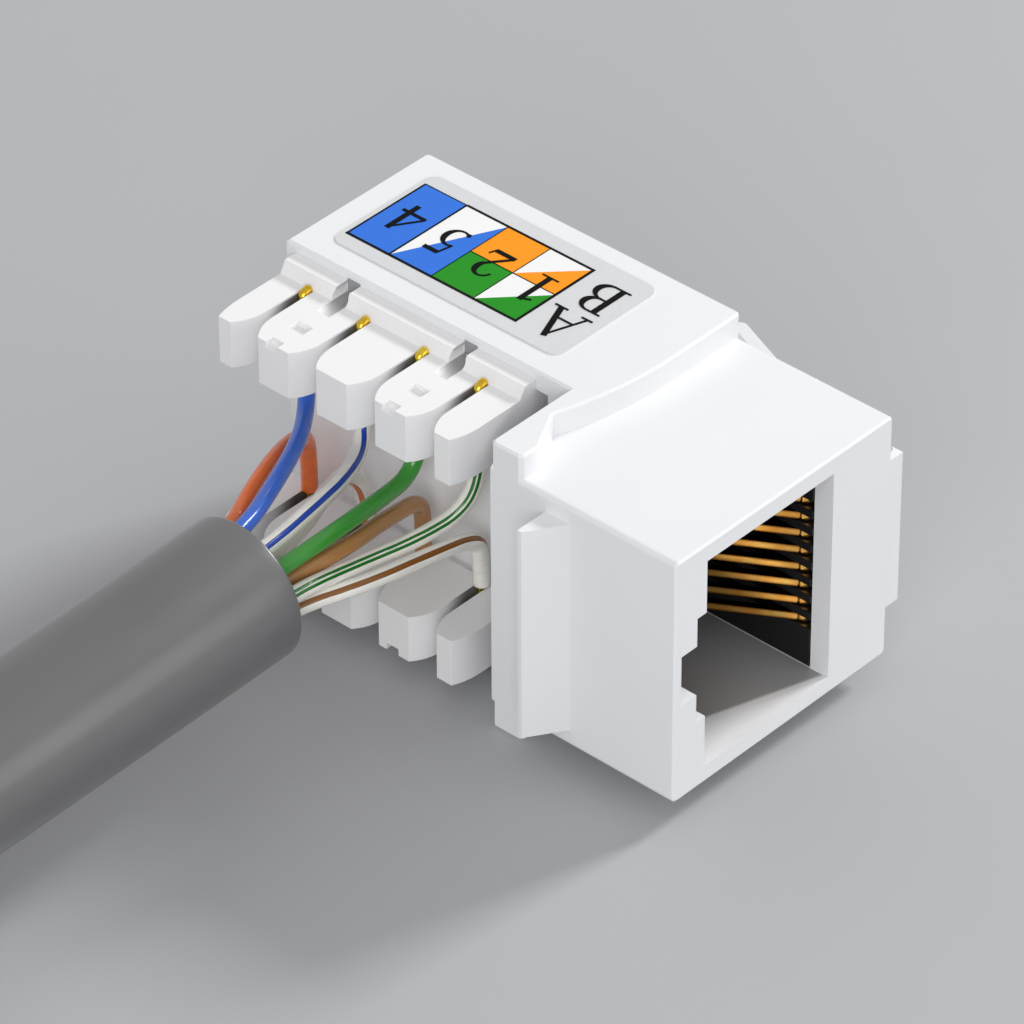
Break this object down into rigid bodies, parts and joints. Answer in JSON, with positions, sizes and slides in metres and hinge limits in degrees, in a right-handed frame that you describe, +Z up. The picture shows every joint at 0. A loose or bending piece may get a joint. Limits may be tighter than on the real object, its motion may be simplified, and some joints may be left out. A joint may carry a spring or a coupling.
{
  "type": "keystone jack",
  "caption": "White keystone jack with a modular port, a sprung latch and rows of punch-down teeth, with a grey twisted-pair cable laid into the slots.",
  "frame": {"origin": "middle of the box's front face, on the centre line of the opening in the panel", "axes": "-Y out of the port towards the plug, -X the side of the punch-down teeth and the cable, +Z up from the table the jack lies on"},
  "size_m": [0.0969, 0.033, 0.0175],
  "materials": {
    "housing_plastic": "glossy white moulded plastic",
    "block_plastic": "glossy white moulded plastic",
    "insert_plastic": "near-black moulded plastic",
    "board_laminate": "green laminate",
    "contact_metal": "gold-plated spring wire",
    "blade_metal": "tin-plated sheet",
    "conductor_metal": "bright drawn copper",
    "label_film": "pale grey printed film",
    "jacket_plastic": "mid-grey cable jacket with a soft sheen",
    "core_plastic": "pale filler and packed wires",
    "insulation_blue": "coloured insulation",
    "insulation_white_blue": "white insulation with a coloured tracer",
    "insulation_green": "coloured insulation",
    "insulation_white_green": "white insulation with a coloured tracer",
    "insulation_orange": "coloured insulation",
    "insulation_white_orange": "white insulation with a coloured tracer",
    "insulation_brown": "coloured insulation",
    "insulation_white_brown": "white insulation with a coloured tracer"
  },
  "bodies": {
    "jack": {"cable_core": "core_plastic", "cable_jacket": "jacket_plastic", "circuit_board": "board_laminate", "conductor_blue": "conductor_metal", "conductor_brown": "conductor_metal", "conductor_green": "conductor_metal", "conductor_orange": "conductor_metal", "conductor_white_blue": "conductor_metal", "conductor_white_brown": "conductor_metal", "conductor_white_green": "conductor_metal", "conductor_white_orange": "conductor_metal", "contact_insert": "insert_plastic", "contact_lead_1": "contact_metal", "contact_lead_2": "contact_metal", "contact_lead_3": "contact_metal", "contact_lead_4": "contact_metal", "contact_lead_5": "contact_metal", "contact_lead_6": "contact_metal", "contact_lead_7": "contact_metal", "contact_lead_8": "contact_metal", "idc_blade_lower_1": "blade_metal", "idc_blade_lower_2": "blade_metal", "idc_blade_lower_3": "blade_metal", "idc_blade_lower_4": "blade_metal", "idc_blade_upper_1": "blade_metal", "idc_blade_upper_2": "blade_metal", "idc_blade_upper_3": "blade_metal", "idc_blade_upper_4": "blade_metal", "idc_block": "block_plastic", "jack_housing": "housing_plastic", "wire_blue": "insulation_blue", "wire_brown": "insulation_brown", "wire_green": "insulation_green", "wire_orange": "insulation_orange", "wire_white_blue": "insulation_white_blue", "wire_white_brown": "insulation_white_brown", "wire_white_green": "insulation_white_green", "wire_white_orange": "insulation_white_orange", "wiring_label": "label_film"},
    "latch": {"latch_arm": "housing_plastic"},
    "contact_1": {"contact_spring_1": "contact_metal"},
    "contact_2": {"contact_spring_2": "contact_metal"},
    "contact_3": {"contact_spring_3": "contact_metal"},
    "contact_4": {"contact_spring_4": "contact_metal"},
    "contact_5": {"contact_spring_5": "contact_metal"},
    "contact_6": {"contact_spring_6": "contact_metal"},
    "contact_7": {"contact_spring_7": "contact_metal"},
    "contact_8": {"contact_spring_8": "contact_metal"}
  },
  "joints": [
    {"name": "latch_flex", "type": "hinge", "parent": "jack", "child": "latch", "pos_m": [0.0085, 0.001, 0], "axis": [0, 0, 1], "range_deg": [0, 7], "stiffness_Nm_per_rad": 1.2},
    {"name": "contact_flex_1", "type": "hinge", "parent": "jack", "child": "contact_1", "pos_m": [0.0038, 0.00226, -0.00361], "axis": [0, 0, -1], "range_deg": [0, 12], "stiffness_Nm_per_rad": 0.05},
    {"name": "contact_flex_2", "type": "hinge", "parent": "jack", "child": "contact_2", "pos_m": [0.0038, 0.00226, -0.00258], "axis": [0, 0, -1], "range_deg": [0, 12], "stiffness_Nm_per_rad": 0.05},
    {"name": "contact_flex_3", "type": "hinge", "parent": "jack", "child": "contact_3", "pos_m": [0.0038, 0.00226, -0.00154], "axis": [0, 0, -1], "range_deg": [0, 12], "stiffness_Nm_per_rad": 0.05},
    {"name": "contact_flex_4", "type": "hinge", "parent": "jack", "child": "contact_4", "pos_m": [0.0038, 0.00226, -0.00052], "axis": [0, 0, -1], "range_deg": [0, 12], "stiffness_Nm_per_rad": 0.05},
    {"name": "contact_flex_5", "type": "hinge", "parent": "jack", "child": "contact_5", "pos_m": [0.0038, 0.00226, 0.00052], "axis": [0, 0, -1], "range_deg": [0, 12], "stiffness_Nm_per_rad": 0.05},
    {"name": "contact_flex_6", "type": "hinge", "parent": "jack", "child": "contact_6", "pos_m": [0.0038, 0.00226, 0.00154], "axis": [0, 0, -1], "range_deg": [0, 12], "stiffness_Nm_per_rad": 0.05},
    {"name": "contact_flex_7", "type": "hinge", "parent": "jack", "child": "contact_7", "pos_m": [0.0038, 0.00226, 0.00258], "axis": [0, 0, -1], "range_deg": [0, 12], "stiffness_Nm_per_rad": 0.05},
    {"name": "contact_flex_8", "type": "hinge", "parent": "jack", "child": "contact_8", "pos_m": [0.0038, 0.00226, 0.00361], "axis": [0, 0, -1], "range_deg": [0, 12], "stiffness_Nm_per_rad": 0.05}
  ]
}
